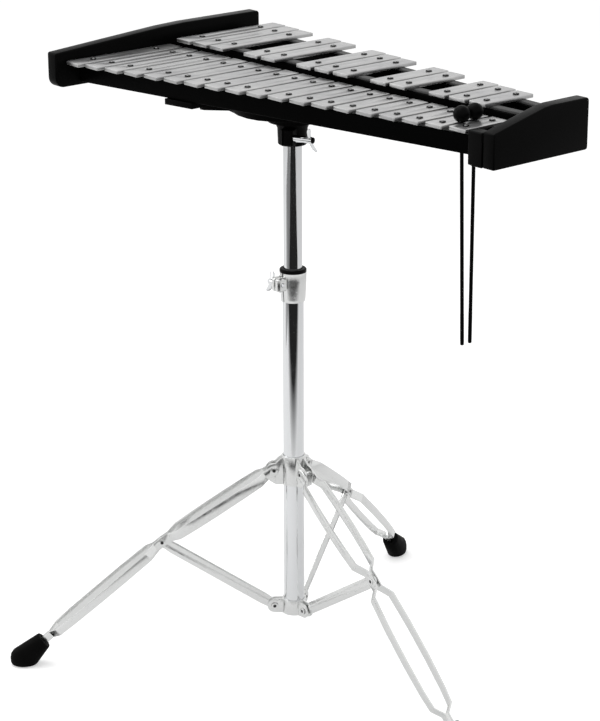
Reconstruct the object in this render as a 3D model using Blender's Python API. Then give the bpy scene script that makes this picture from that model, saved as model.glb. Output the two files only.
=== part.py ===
# A 32-note metallophone on a folding tripod stand, in metres, +Z up.
# The origin ends up on the floor, under the middle of the whole object's box.
# Until then the pieces are placed from the centre of the stand's column.
# The bars run along Y, the row of bars runs along X towards the high notes.

import math

import bmesh
import bpy
from mathutils import Matrix, Vector

# Place of the instrument over the centre of the stand's column
ROW_X = 0.0310
ROW_Y = -0.0287
BAR_TOP = 0.7330

# Bars
PITCH = 0.0300
BAR_WIDTH = 0.0254
BAR_THICK = 0.0040
BAR_CHAMFER = 0.0008
BAR_HOLE = 0.0027
OVERHANG = 0.330
SHARP_RISE = 0.0091
NATURAL_COUNT = 19
SHARP_PLACES = (0.5, 1.5, 2.5, 4.5, 5.5, 7.5, 8.5, 9.5, 11.5, 12.5, 14.5, 15.5, 16.5)
NATURAL_NAMES = "FGABCDE"
FIRST_OCTAVE = 5

# Node lines, each as the offset and the slope of y against x
NATURAL_FRONT = (-0.0335, 0.1775)
NATURAL_REAR = (0.0335, 0.0757)
SHARP_FRONT = (0.0823, 0.0345)
SHARP_REAR = (0.1500, -0.0651)

# Rails, with the felt and the retaining screws on them
GAP = 0.0003
RAIL_WIDTH = 0.0140
RAIL_BOTTOM = -0.0285
FELT_WIDTH = 0.0100
FELT_THICK = 0.0030
POST_RADIUS = 0.0019
HEAD_RADIUS = 0.0034
HEAD_HEIGHT = 0.0014

# End boards
BOARD_THICK = 0.0170
LOW_BOARD_BOTTOM = -0.0325
HIGH_BOARD_BOTTOM = -0.0350
BOARD_TOP = 0.0228
LOW_BOARD_INNER = -0.2860
LOW_BOARD_FRONT = -0.1254
LOW_BOARD_BEND = 0.0520
LOW_BOARD_REAR = 0.1905
LOW_BOARD_LIP = 0.0097
HIGH_BOARD_INNER = 0.3130
HIGH_BOARD_FRONT = -0.0030
HIGH_BOARD_BEND = 0.0786
HIGH_BOARD_REAR = 0.1405
HIGH_BOARD_LIP = 0.0041
CLEAT_WIDTH = 0.0160
CORNER_WIDTH = 0.0215
CORNER_TOP = 0.0028

# Mounting tray under the rails
BATTEN_HEIGHT = 0.0072
BATTEN_LEFT = (-0.1470, -0.1050)
BATTEN_RIGHT = (0.0200, 0.0600)
TRAY_THICK = 0.0085

# Column
LOWER_RADIUS = 0.0127
LOWER_BORE = 0.0114
LOWER_BOTTOM = 0.0590
LOWER_TOP = 0.4900
UPPER_RADIUS = 0.0111
UPPER_BORE = 0.0097
UPPER_BOTTOM = 0.3000
UPPER_TOP = 0.6790

# Receiver
FLANGE_RADIUS = 0.0290
FLANGE_TOP = 0.6885
FLANGE_BOTTOM = 0.6830
SOCKET_RADIUS = 0.0172
EAR_TURN = 25.0
EAR_FACE = 0.0116
EAR_FRONT = -0.0262
SOCKET_BOTTOM = 0.6555
RECEIVER_BOLT_Y = -0.0210
RECEIVER_BOLT_Z = 0.6675

# Height collar
COLLAR_BOTTOM = 0.4640
COLLAR_TOP = 0.5002
COLLAR_RADIUS = 0.0162
COLLAR_FOOT_RADIUS = 0.0145
BUSH_TOP = 0.5045
COLLAR_BOLT_Y = -0.0215
COLLAR_BOLT_Z = 0.4885

# Legs
LEG_TURNS = (234.8, 354.8, 114.8)
PIVOT_RADIUS = 0.0248
CROWN_PIVOT = 0.2490
LOWER_PIVOT = 0.0670
MID_RADIUS = 0.1631
MID_HEIGHT = 0.1580
TOE_RADIUS = 0.3170
TOE_HEIGHT = 0.0275
STRAP_THICK = 0.0018
PIN_RADIUS = 0.0024
RIVET_RADIUS = 0.0042
BRACE_WIDTH = 0.0145
BRACE_THICK = 0.0024
CROWN_BOTTOM = 0.2300
CROWN_TOP = 0.2670
SLEEVE_RADIUS = 0.0150
LUG_INNER = 0.0042
LUG_THICK = 0.0016
COLLAR_LUG_INNER = 0.0026
ANCHOR_BOTTOM = 0.0570
ANCHOR_TOP = 0.0760

# Feet
BOOT_MOUTH = 0.0066
SOLE_CENTRE = 0.3370

# Mallets
MALLET_X = 0.2550
MALLET_YS = (0.0226, 0.0422)
MALLET_LEANS = (1.7, 0.0)
MALLET_HEAD = 0.0094
MALLET_SHAFT = 0.0020
MALLET_GRIP = 0.0022
MALLET_LENGTH = 0.2620
GRIP_LENGTH = 0.0360


def clear_scene():
    for item in list(bpy.data.objects):
        bpy.data.objects.remove(item)


def new_object(name, bm):
    bmesh.ops.recalc_face_normals(bm, faces=bm.faces)
    mesh = bpy.data.meshes.new(name)
    bm.to_mesh(mesh)
    bm.free()
    item = bpy.data.objects.new(name, mesh)
    bpy.context.scene.collection.objects.link(item)
    return item


def box(low, high, chamfer=0.0):
    bm = bmesh.new()
    bmesh.ops.create_cube(bm, size=1.0)
    for vert in bm.verts:
        for k in range(3):
            vert.co[k] = high[k] if vert.co[k] > 0 else low[k]
    if chamfer:
        bmesh.ops.bevel(bm, geom=bm.edges[:], offset=chamfer, segments=1, affect="EDGES")
    return new_object("helper", bm)


def prism(outline, low, high, frame=None):
    """An outline in the first two axes, drawn from low to high along the third one."""
    bm = bmesh.new()
    ends = []
    for level in (low, high):
        ends.append([bm.verts.new((x, y, level)) for x, y in outline])
    bm.faces.new(ends[0][::-1])
    bm.faces.new(ends[1])
    for k in range(len(outline)):
        j = (k + 1) % len(outline)
        bm.faces.new((ends[0][k], ends[0][j], ends[1][j], ends[1][k]))
    if frame:
        bm.transform(frame)
    return new_object("helper", bm)


def lathe(profile, sides, frame=None):
    """A closed solid turned about Z from a loop of (radius, height), or from a line that ends on the axis."""
    bm = bmesh.new()
    rings = []
    for radius, height in profile:
        if radius == 0.0:
            rings.append([bm.verts.new((0.0, 0.0, height))])
            continue
        ring = []
        for k in range(sides):
            turn = 2.0 * math.pi * k / sides
            ring.append(bm.verts.new((radius * math.cos(turn), radius * math.sin(turn), height)))
        rings.append(ring)
    count = len(rings) if len(rings[0]) > 1 else len(rings) - 1
    for k in range(count):
        first = rings[k]
        second = rings[(k + 1) % len(rings)]
        for i in range(sides):
            j = (i + 1) % sides
            corners = [first[i % len(first)], first[j % len(first)]]
            corners += [second[j % len(second)], second[i % len(second)]]
            bm.faces.new(list(dict.fromkeys(corners)))
    if frame:
        bm.transform(frame)
    return new_object("helper", bm)


def hull(points, frame):
    """The smallest convex solid round these points."""
    bm = bmesh.new()
    for point in points:
        bm.verts.new(point)
    found = bmesh.ops.convex_hull(bm, input=bm.verts)
    unused = found["geom_interior"] + found["geom_unused"]
    loose = [item for item in dict.fromkeys(unused) if isinstance(item, bmesh.types.BMVert)]
    bmesh.ops.delete(bm, geom=loose, context="VERTS")
    bm.transform(frame)
    return new_object("helper", bm)


def rod(start, end, radius, sides):
    start = Vector(start)
    span = Vector(end) - start
    frame = Matrix.Translation(start) @ span.to_track_quat("Z", "Y").to_matrix().to_4x4()
    return lathe([(0.0, 0.0), (radius, 0.0), (radius, span.length), (0.0, span.length)], sides, frame)


def combined(name, base, others, operation):
    for other in others:
        change = base.modifiers.new("combine", "BOOLEAN")
        change.operation = operation
        change.solver = "EXACT"
        change.object = other
    bpy.context.view_layer.update()
    graph = bpy.context.evaluated_depsgraph_get()
    mesh = bpy.data.meshes.new_from_object(base.evaluated_get(graph))
    for item in [base] + list(others):
        bpy.data.objects.remove(item)
    result = bpy.data.objects.new(name, mesh)
    bpy.context.scene.collection.objects.link(result)
    return result


def union(name, base, others):
    return combined(name, base, others, "UNION")


def cut(name, base, others):
    return combined(name, base, others, "DIFFERENCE")


def merged(items):
    """Solids that don't touch, as one helper object."""
    bm = bmesh.new()
    for item in items:
        bm.from_mesh(item.data)
        bpy.data.objects.remove(item)
    return new_object("helper", bm)


def arc(centre, radius, start, end, steps):
    points = []
    for k in range(steps + 1):
        turn = math.radians(start + (end - start) * k / steps)
        points.append((centre[0] + radius * math.cos(turn), centre[1] + radius * math.sin(turn)))
    return points


def line_y(line, x):
    return line[0] + line[1] * x


def placed(item):
    """Moves a solid drawn in the instrument's own frame to its place over the stand."""
    item.data.transform(Matrix.Translation((ROW_X, ROW_Y, BAR_TOP)))
    return item


# Bars

def make_bar(name, place, front, rear, top):
    x = PITCH * (place - (NATURAL_COUNT - 1) / 2)
    near = line_y(front, x)
    far = line_y(rear, x)
    reach = OVERHANG * (far - near)
    half = BAR_WIDTH / 2
    plate = box((x - half, near - reach, top - BAR_THICK), (x + half, far + reach, top), BAR_CHAMFER)
    holes = []
    for y in (near, far):
        holes.append(rod((x, y, top - 0.01), (x, y, top + 0.01), BAR_HOLE, 10))
    placed(cut(name, plate, [merged(holes)]))


def note_name(place):
    step = int(place)
    letter = NATURAL_NAMES[step % 7]
    octave = FIRST_OCTAVE + (step + 3) // 7
    return f"bar_{letter}{'sharp' if place > step else ''}{octave}"


def make_bars():
    for place in range(NATURAL_COUNT):
        make_bar(note_name(place), place, NATURAL_FRONT, NATURAL_REAR, 0.0)
    for place in SHARP_PLACES:
        make_bar(note_name(place), place, SHARP_FRONT, SHARP_REAR, SHARP_RISE)


# Rails

def strip(line, width, low, high, left, right):
    half = width / 2 * math.hypot(1.0, line[1])
    outline = []
    for x, side in ((left, -1), (right, -1), (right, 1), (left, 1)):
        outline.append((x, line_y(line, x) + side * half))
    return prism(outline, low, high)


def make_rail(name, line, places, top):
    left = LOW_BOARD_INNER + GAP
    right = HIGH_BOARD_INNER - CLEAT_WIDTH - GAP
    felt_top = top - BAR_THICK - GAP
    rail_top = felt_top - FELT_THICK
    body = strip(line, RAIL_WIDTH, RAIL_BOTTOM, rail_top, left, right)
    felt = strip(line, FELT_WIDTH, rail_top - 0.001, felt_top, left + 0.002, right - 0.002)
    screws = []
    for place in places:
        x = PITCH * (place - (NATURAL_COUNT - 1) / 2)
        under = top + GAP
        profile = [
            (0.0, felt_top - 0.0015),
            (POST_RADIUS, felt_top - 0.0015),
            (POST_RADIUS, under),
            (HEAD_RADIUS, under),
            (HEAD_RADIUS * 0.72, under + HEAD_HEIGHT * 0.8),
            (0.0, under + HEAD_HEIGHT),
        ]
        screws.append(lathe(profile, 8, Matrix.Translation((x, line_y(line, x), 0.0))))
    placed(union(name, body, [felt, merged(screws)]))


def make_rails():
    naturals = range(NATURAL_COUNT)
    make_rail("rail_natural_front", NATURAL_FRONT, naturals, 0.0)
    make_rail("rail_natural_rear", NATURAL_REAR, naturals, 0.0)
    make_rail("rail_sharp_front", SHARP_FRONT, SHARP_PLACES, SHARP_RISE)
    make_rail("rail_sharp_rear", SHARP_REAR, SHARP_PLACES, SHARP_RISE)


# End boards

UPRIGHT = Matrix(((0, 0, 1, 0), (1, 0, 0, 0), (0, 1, 0, 0), (0, 0, 0, 1)))


def make_boards():
    outline = arc((LOW_BOARD_FRONT + 0.012, LOW_BOARD_BOTTOM + 0.012), 0.012, 180, 270, 6)
    outline += arc((LOW_BOARD_REAR - 0.004, LOW_BOARD_BOTTOM + 0.004), 0.004, 270, 360, 3)
    outline += arc((LOW_BOARD_REAR - 0.004, BOARD_TOP - 0.004), 0.004, 0, 90, 3)
    outline += [(LOW_BOARD_BEND + 0.018, BOARD_TOP), (LOW_BOARD_BEND - 0.018, BOARD_TOP - 0.0014)]
    outline += arc((LOW_BOARD_FRONT + 0.0025, LOW_BOARD_LIP - 0.0022), 0.0025, 95, 180, 3)
    placed(prism(outline, LOW_BOARD_INNER - BOARD_THICK, LOW_BOARD_INNER, UPRIGHT)).name = "end_board_low"
    outline = [(HIGH_BOARD_FRONT, HIGH_BOARD_BOTTOM)]
    outline += arc((HIGH_BOARD_REAR - 0.003, HIGH_BOARD_BOTTOM + 0.003), 0.003, 270, 360, 3)
    outline += arc((HIGH_BOARD_REAR - 0.004, BOARD_TOP - 0.004), 0.004, 0, 90, 3)
    outline += [(HIGH_BOARD_BEND + 0.006, BOARD_TOP), (HIGH_BOARD_BEND - 0.006, BOARD_TOP - 0.0013)]
    outline += [(HIGH_BOARD_FRONT, HIGH_BOARD_LIP)]
    outer = HIGH_BOARD_INNER + BOARD_THICK
    placed(prism(outline, HIGH_BOARD_INNER, outer, UPRIGHT)).name = "end_board_high"
    low = (HIGH_BOARD_INNER - CLEAT_WIDTH, HIGH_BOARD_FRONT - 0.001, HIGH_BOARD_BOTTOM)
    high = (HIGH_BOARD_INNER - GAP, HIGH_BOARD_REAR - 0.002, -0.0075)
    along = box(low, high)
    low = (HIGH_BOARD_INNER - CORNER_WIDTH, HIGH_BOARD_FRONT - 0.001, HIGH_BOARD_BOTTOM)
    face = line_y(NATURAL_FRONT, low[0]) - RAIL_WIDTH / 2 * math.hypot(1.0, NATURAL_FRONT[1])
    corner = box(low, (HIGH_BOARD_INNER - GAP, face - GAP, CORNER_TOP), 0.0012)
    placed(union("end_cleat", along, [corner]))


# Mounting tray

def make_tray():
    top = RAIL_BOTTOM - GAP
    low = top - BATTEN_HEIGHT
    fronts = (-0.0690, 0.0330)
    battens = []
    for (left, right), front in zip((BATTEN_LEFT, BATTEN_RIGHT), fronts):
        outline = [(left, front), (right, front + 0.1775 * (right - left)), (right, 0.1640), (left, 0.1640)]
        battens.append(prism(outline, low, top))
    outline = [(-0.1280, -0.0320), (-0.1215, -0.0310), (-0.1000, -0.0108), (-0.0860, -0.0140)]
    outline += [(-0.0735, -0.0185), (-0.0540, -0.0202), (-0.0385, -0.0172), (-0.0200, -0.0070)]
    outline += [(-0.0060, 0.0080), (0.0020, 0.0300), (0.0120, 0.0420), (0.0560, 0.0460)]
    outline += [(0.0560, 0.1200), (-0.1280, 0.1200)]
    plate = prism(outline, low - TRAY_THICK, low + 0.001)
    placed(union("mounting_tray", battens[0], [battens[1], plate]))


# Receiver and its wing bolt

def wing_bolt(name, frame, hub_radius, hub_length, span, shank_radius, shank_length):
    """A bolt along Z with its head above z = 0 and two wings standing along X."""
    profile = [
        (0.0, -shank_length),
        (shank_radius, -shank_length),
        (shank_radius, 0.0),
        (hub_radius, 0.0),
        (hub_radius * 0.86, hub_length * 0.92),
        (hub_radius * 0.62, hub_length),
        (0.0, hub_length),
    ]
    body = lathe(profile, 16)
    wings = []
    for side in (-1, 1):
        outline = [
            (side * hub_radius * 0.3, hub_length * 0.10),
            (side * hub_radius * 0.95, hub_length * 0.25),
            (side * span * 0.62, hub_length * 0.62),
            (side * span * 0.92, hub_length * 0.92),
            (side * span, hub_length * 1.30),
            (side * span * 0.94, hub_length * 1.62),
            (side * span * 0.78, hub_length * 1.68),
            (side * span * 0.60, hub_length * 1.42),
            (side * hub_radius * 0.9, hub_length * 0.88),
            (side * hub_radius * 0.3, hub_length * 0.80),
        ]
        thick = 0.0012
        wings.append(prism(outline, -thick, thick, Matrix.Rotation(math.radians(90), 4, "X")))
    bolt = union(name, body, wings)
    bolt.data.transform(frame)


ALONG_X = Matrix.Rotation(math.radians(90), 4, "Y")
AGAINST_X = Matrix.Rotation(math.radians(-90), 4, "Y")


def make_receiver():
    profile = [
        (0.0, SOCKET_BOTTOM),
        (SOCKET_RADIUS - 0.0012, SOCKET_BOTTOM),
        (SOCKET_RADIUS, SOCKET_BOTTOM + 0.0012),
        (SOCKET_RADIUS + 0.0006, FLANGE_BOTTOM - 0.0080),
        (SOCKET_RADIUS + 0.0040, FLANGE_BOTTOM),
        (FLANGE_RADIUS, FLANGE_BOTTOM),
        (FLANGE_RADIUS, FLANGE_TOP),
        (0.0, FLANGE_TOP),
    ]
    socket = lathe(profile, 36)
    turned = Matrix.Rotation(math.radians(EAR_TURN), 4, "Z")
    ear_low = (-0.0035, EAR_FRONT, RECEIVER_BOLT_Z - 0.0095)
    ear_high = (EAR_FACE, -0.0060, RECEIVER_BOLT_Z + 0.0110)
    ear = box(ear_low, ear_high, 0.0015)
    ear.data.transform(turned)
    body = union("receiver", socket, [ear])
    bore = rod((0, 0, SOCKET_BOTTOM - 0.01), (0, 0, UPPER_TOP + 0.0006), UPPER_RADIUS + GAP, 24)
    slit = box((-0.0005, -0.03, SOCKET_BOTTOM - 0.01), (0.0005, -0.004, UPPER_TOP - 0.002))
    slit.data.transform(turned)
    start = (-0.0005, RECEIVER_BOLT_Y, RECEIVER_BOLT_Z)
    hole = rod(start, (0.03, RECEIVER_BOLT_Y, RECEIVER_BOLT_Z), 0.0034, 12)
    hole.data.transform(turned)
    cut("receiver", body, [bore, slit, hole])
    frame = Matrix.Translation((EAR_FACE + GAP, RECEIVER_BOLT_Y, RECEIVER_BOLT_Z)) @ ALONG_X
    frame = turned @ frame @ Matrix.Rotation(math.radians(32), 4, "Z")
    wing_bolt("receiver_wing_bolt", frame, 0.0050, 0.0230, 0.0190, 0.0029, 0.0110)


# Column

def make_column():
    tubes = (
        ("lower_tube", LOWER_BORE, LOWER_RADIUS, LOWER_BOTTOM, LOWER_TOP),
        ("upper_tube", UPPER_BORE, UPPER_RADIUS, UPPER_BOTTOM, UPPER_TOP),
    )
    for name, inside, outside, bottom, top in tubes:
        lathe([(inside, bottom), (outside, bottom), (outside, top), (inside, top)], 32).name = name
    bore = LOWER_RADIUS + GAP
    rings = [
        (bore, COLLAR_BOTTOM),
        (COLLAR_FOOT_RADIUS, COLLAR_BOTTOM),
        (COLLAR_FOOT_RADIUS + 0.0005, COLLAR_BOTTOM + 0.004),
        (COLLAR_RADIUS - 0.0002, COLLAR_TOP - 0.012),
        (COLLAR_RADIUS, COLLAR_TOP),
        (bore, COLLAR_TOP),
    ]
    sleeve = lathe(rings, 32)
    lugs = box((-0.0075, -0.0285, COLLAR_BOLT_Z - 0.0085), (0.0075, -0.0140, COLLAR_BOLT_Z + 0.0085), 0.0022)
    body = union("height_collar", sleeve, [lugs])
    slit = box((-0.0011, -0.04, COLLAR_BOTTOM - 0.01), (0.0011, -0.0095, COLLAR_TOP + 0.01))
    bolt_y = COLLAR_BOLT_Y - 0.0005
    hole = rod((-0.02, bolt_y, COLLAR_BOLT_Z), (0.02, bolt_y, COLLAR_BOLT_Z), 0.0027, 12)
    cut("height_collar", body, [slit, hole])
    frame = Matrix.Translation((-0.0075 - GAP, bolt_y, COLLAR_BOLT_Z)) @ AGAINST_X
    wing_bolt("height_wing_bolt", frame, 0.0042, 0.0095, 0.0125, 0.0023, 0.0180)
    inner = UPPER_RADIUS + GAP
    low = COLLAR_TOP + GAP
    rings = [(inner, low), (COLLAR_RADIUS, low), (COLLAR_RADIUS, BUSH_TOP - 0.001)]
    rings += [(COLLAR_RADIUS - 0.0012, BUSH_TOP), (inner, BUSH_TOP)]
    lathe(rings, 32).name = "height_bush"


# Tripod collars

def leg_frame(turn):
    """Maps (radius, height, sideways) of a leg's own plane to the stand."""
    upright = Matrix(((1, 0, 0, 0), (0, 0, 1, 0), (0, 1, 0, 0), (0, 0, 0, 1)))
    return Matrix.Rotation(math.radians(turn), 4, "Z") @ upright


def make_tripod_collar(name, low, high, lug_inner, outline, pivot):
    bore = LOWER_RADIUS + GAP
    sleeve = lathe([(bore, low), (SLEEVE_RADIUS, low), (SLEEVE_RADIUS, high), (bore, high)], 30)
    lugs = []
    holes = []
    for turn in LEG_TURNS:
        frame = leg_frame(turn)
        for side in (-1, 1):
            near = side * lug_inner
            far = side * (lug_inner + LUG_THICK)
            lugs.append(prism(outline, min(near, far), max(near, far), frame))
        reach = 0.02
        start = frame @ Vector((PIVOT_RADIUS, pivot, -reach))
        end = frame @ Vector((PIVOT_RADIUS, pivot, reach))
        holes.append(rod(start, end, PIN_RADIUS + GAP, 10))
    body = union(name, sleeve, lugs)
    return body, holes


def make_tripod_collars():
    pivot = (PIVOT_RADIUS, CROWN_PIVOT)
    outline = [(0.0136, CROWN_BOTTOM), (0.0220, CROWN_BOTTOM), (0.0300, CROWN_BOTTOM + 0.0050)]
    outline += arc(pivot, 0.0092, -28, 100, 7)
    outline += [(0.0180, CROWN_TOP - 0.0040), (0.0136, CROWN_TOP - 0.0015)]
    body, holes = make_tripod_collar("crown", CROWN_BOTTOM, CROWN_TOP, LUG_INNER, outline, CROWN_PIVOT)
    cut("crown", body, holes)
    pivot = (PIVOT_RADIUS, LOWER_PIVOT)
    outline = [(0.0136, ANCHOR_BOTTOM)] + arc(pivot, 0.0090, -95, 90, 9) + [(0.0136, ANCHOR_TOP)]
    heights = (ANCHOR_BOTTOM, ANCHOR_TOP)
    body, holes = make_tripod_collar("lower_collar", *heights, COLLAR_LUG_INNER, outline, LOWER_PIVOT)
    cut("lower_collar", body, holes)


# Legs

def strap(stations, side, frame):
    """A flat strip in a leg's plane. Each station is (radius, height, sideways of its middle, width)."""
    bm = bmesh.new()
    rings = []
    for k, (radius, height, sideways, width) in enumerate(stations):
        before = stations[max(k - 1, 0)]
        after = stations[min(k + 1, len(stations) - 1)]
        along = Vector((after[0] - before[0], after[1] - before[1])).normalized()
        across = Vector((-along.y, along.x))
        ring = []
        for i, j in ((-1, -1), (1, -1), (1, 1), (-1, 1)):
            r = radius + across.x * i * width / 2
            z = height + across.y * i * width / 2
            ring.append(bm.verts.new((r, z, side * sideways + j * STRAP_THICK / 2)))
        rings.append(ring)
    for first, second in zip(rings, rings[1:]):
        for k in range(4):
            j = (k + 1) % 4
            bm.faces.new((first[k], first[j], second[j], second[k]))
    bm.faces.new(rings[0][::-1])
    bm.faces.new(rings[-1])
    bm.transform(frame)
    return new_object("helper", bm)


def stations_between(start, end, plan):
    """Stations on the line from start to end, at distances from start, or from end where negative."""
    start = Vector(start)
    span = Vector(end) - start
    found = []
    for distance, sideways, width in plan:
        share = distance / span.length if distance >= 0 else 1 + distance / span.length
        point = start + span * share
        found.append((point.x, point.y, sideways, width))
    return found


def rivet(radius, height, reach, frame):
    """A pin across a leg's plane, with a flat round head at each end."""
    profile = [
        (0.0, -reach - 0.0012),
        (RIVET_RADIUS, -reach - 0.0012),
        (RIVET_RADIUS, -reach),
        (PIN_RADIUS, -reach),
        (PIN_RADIUS, reach),
        (RIVET_RADIUS, reach),
        (RIVET_RADIUS, reach + 0.0012),
        (0.0, reach + 0.0012),
    ]
    return lathe(profile, 12, frame @ Matrix.Translation((radius, height, 0.0)))


def make_leg(number, turn):
    frame = leg_frame(turn)
    top = (PIVOT_RADIUS, CROWN_PIVOT)
    middle = (MID_RADIUS, MID_HEIGHT)
    toe = (TOE_RADIUS, TOE_HEIGHT)
    pinch_top = LUG_INNER + LUG_THICK + 0.0005 + STRAP_THICK / 2
    pinch_middle = BRACE_THICK / 2 + 0.0010 + STRAP_THICK / 2
    pinch_toe = 0.0024
    upper = [
        (0.0, pinch_top, 0.0120),
        (0.0125, pinch_top, 0.0120),
        (0.0215, 0.0138, 0.0126),
        (0.0520, 0.0150, 0.0130),
        (0.0900, 0.0154, 0.0130),
        (-0.0480, 0.0146, 0.0128),
        (-0.0245, 0.0132, 0.0124),
        (-0.0115, pinch_middle, 0.0118),
        (-0.0010, pinch_middle, 0.0116),
    ]
    lower = [
        (0.0100, pinch_middle, 0.0114),
        (0.0225, 0.0134, 0.0112),
        (0.0650, 0.0154, 0.0108),
        (0.1100, 0.0158, 0.0104),
        (-0.0520, 0.0148, 0.0100),
        (-0.0300, 0.0128, 0.0096),
        (-0.0190, pinch_toe, 0.0092),
        (0.2090, pinch_toe, 0.0088),
    ]
    first = Vector(top)
    along = (Vector(middle) - first).normalized()
    nose = first - along * 0.0055
    stations = [(nose.x, nose.y, pinch_top, 0.0070)]
    stations += stations_between(top, middle, upper) + stations_between(middle, toe, lower)
    straps = [strap(stations, side, frame) for side in (-1, 1)]
    pins = [rivet(*top, pinch_top + STRAP_THICK / 2 - 0.0002, frame)]
    pins.append(rivet(*middle, pinch_middle + STRAP_THICK / 2 - 0.0002, frame))
    plug = stations_between(middle, toe, [(0.1815, 0.0, 0.0080), (0.2085, 0.0, 0.0080)])
    ends = [Vector(item[:2]) for item in plug]
    across = (ends[1] - ends[0]).normalized().orthogonal() * 0.0040
    outline = [ends[0] - across, ends[1] - across, ends[1] + across, ends[0] + across]
    spacer = prism([tuple(point) for point in outline], -0.0020, 0.0020, frame)
    union(f"leg_{number}", straps[0], [straps[1], spacer] + pins)


def make_brace(number, turn):
    frame = leg_frame(turn)
    start = Vector((PIVOT_RADIUS, LOWER_PIVOT))
    end = Vector((MID_RADIUS, MID_HEIGHT))
    slope = math.degrees(math.atan2(end.y - start.y, end.x - start.x))
    half = BRACE_WIDTH / 2
    along = (end - start).normalized()
    below = Vector((along.y, -along.x)) * half
    inner = start + along * 0.016
    outer = end - along * 0.016
    outline = arc(start, 0.0062, slope + 115, slope + 245, 5)
    outline += [tuple(inner + below), tuple(outer + below)]
    outline += arc(end, 0.0058, slope - 65, slope + 65, 5)
    outline += [tuple(outer - below), tuple(inner - below)]
    plate = prism(outline, -BRACE_THICK / 2, BRACE_THICK / 2, frame)
    pin = rivet(*start, COLLAR_LUG_INNER + LUG_THICK + 0.0004, frame)
    body = union(f"brace_{number}", plate, [pin])
    hole = rod(frame @ Vector((*end, -0.02)), frame @ Vector((*end, 0.02)), PIN_RADIUS + GAP, 10)
    cut(f"brace_{number}", body, [hole])


def make_foot(number, turn):
    """A rubber boot: one convex form from a round mouth on the leg to an oval sole, longer along the leg."""
    frame = leg_frame(turn)
    middle = Vector((MID_RADIUS, MID_HEIGHT))
    toe = Vector((TOE_RADIUS, TOE_HEIGHT))
    along = (toe - middle).normalized()
    across = along.orthogonal()
    mouth = toe - along * BOOT_MOUTH
    points = []
    for depth, radius in ((0.0, 0.0100), (0.0010, 0.0109), (0.0100, 0.0113)):
        for k in range(24):
            angle = 2.0 * math.pi * k / 24
            point = mouth + along * depth + across * radius * math.cos(angle)
            points.append((point.x, point.y, radius * math.sin(angle)))
    levels = (
        (0.0, 0.0140, 0.0100),
        (0.0015, 0.0160, 0.0117),
        (0.0045, 0.0173, 0.0126),
        (0.0100, 0.0175, 0.0127),
        (0.0150, 0.0165, 0.0120),
        (0.0195, 0.0135, 0.0104),
    )
    for height, half_length, half_width in levels:
        for k in range(24):
            angle = 2.0 * math.pi * k / 24
            points.append((SOLE_CENTRE + half_length * math.cos(angle), height, half_width * math.sin(angle)))
    body = hull(points, frame)
    low = toe - along * 0.022
    high = toe + along * 0.0075
    outline = [low - across * 0.0050, high - across * 0.0050, high + across * 0.0050, low + across * 0.0050]
    socket = prism([tuple(point) for point in outline], -0.0037, 0.0037, frame)
    cut(f"foot_{number}", body, [socket])


def make_tripod():
    make_tripod_collars()
    for number, turn in enumerate(LEG_TURNS, 1):
        make_leg(number, turn)
        make_brace(number, turn)
        make_foot(number, turn)


# Mallets

def make_mallets():
    rest = math.sqrt(MALLET_HEAD**2 - (PITCH / 2 - BAR_WIDTH / 2 + BAR_CHAMFER) ** 2) + GAP
    for number, (y, lean) in enumerate(zip(MALLET_YS, MALLET_LEANS), 1):
        bottom = -MALLET_LENGTH
        rings = [(0.0, bottom), (MALLET_GRIP * 0.8, bottom), (MALLET_GRIP, bottom + 0.002)]
        rings += [(MALLET_GRIP, bottom + GRIP_LENGTH), (MALLET_SHAFT, bottom + GRIP_LENGTH + 0.001)]
        start = -math.degrees(math.acos(MALLET_SHAFT / MALLET_HEAD))
        steps = 9
        for k in range(steps):
            turn = math.radians(start + (90 - start) * k / steps)
            rings.append((MALLET_HEAD * math.cos(turn), MALLET_HEAD * math.sin(turn)))
        rings.append((0.0, MALLET_HEAD))
        frame = Matrix.Translation((MALLET_X, y, rest)) @ Matrix.Rotation(math.radians(lean), 4, "X")
        placed(lathe(rings, 16, frame)).name = f"mallet_{number}"


# The whole object

def centre_on_floor():
    corners = [vert.co for item in bpy.data.objects for vert in item.data.vertices]
    low = [min(corner[k] for corner in corners) for k in range(3)]
    high = [max(corner[k] for corner in corners) for k in range(3)]
    shift = Matrix.Translation((-(low[0] + high[0]) / 2, -(low[1] + high[1]) / 2, -low[2]))
    for item in bpy.data.objects:
        item.data.transform(shift)


clear_scene()
make_bars()
make_rails()
make_boards()
make_tray()
make_receiver()
make_column()
make_tripod()
make_mallets()
centre_on_floor()
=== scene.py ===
"""Looks of a 32-note metallophone on a folding tripod stand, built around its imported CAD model."""

import math

import bmesh
import bpy
from mathutils import Matrix, Vector


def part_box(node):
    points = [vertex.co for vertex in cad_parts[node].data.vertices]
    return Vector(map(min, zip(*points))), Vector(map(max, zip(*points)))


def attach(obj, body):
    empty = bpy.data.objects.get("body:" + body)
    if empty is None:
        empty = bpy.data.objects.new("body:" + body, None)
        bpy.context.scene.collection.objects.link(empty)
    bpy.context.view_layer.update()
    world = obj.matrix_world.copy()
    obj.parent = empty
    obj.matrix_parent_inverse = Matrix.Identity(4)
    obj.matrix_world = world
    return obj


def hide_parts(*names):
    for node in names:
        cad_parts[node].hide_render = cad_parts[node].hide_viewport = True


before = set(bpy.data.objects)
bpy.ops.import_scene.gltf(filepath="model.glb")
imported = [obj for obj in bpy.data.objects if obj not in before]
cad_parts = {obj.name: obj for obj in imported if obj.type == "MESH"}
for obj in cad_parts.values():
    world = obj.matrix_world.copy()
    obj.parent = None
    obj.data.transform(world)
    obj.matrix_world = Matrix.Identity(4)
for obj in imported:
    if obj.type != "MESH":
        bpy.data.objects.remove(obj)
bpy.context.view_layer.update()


# Column tubes
# Two chromed steel tubes, 1 in and 7/8 in across, one sliding in the other.
# They are drawn round, with bright plating that shows faint wiping marks.

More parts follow.
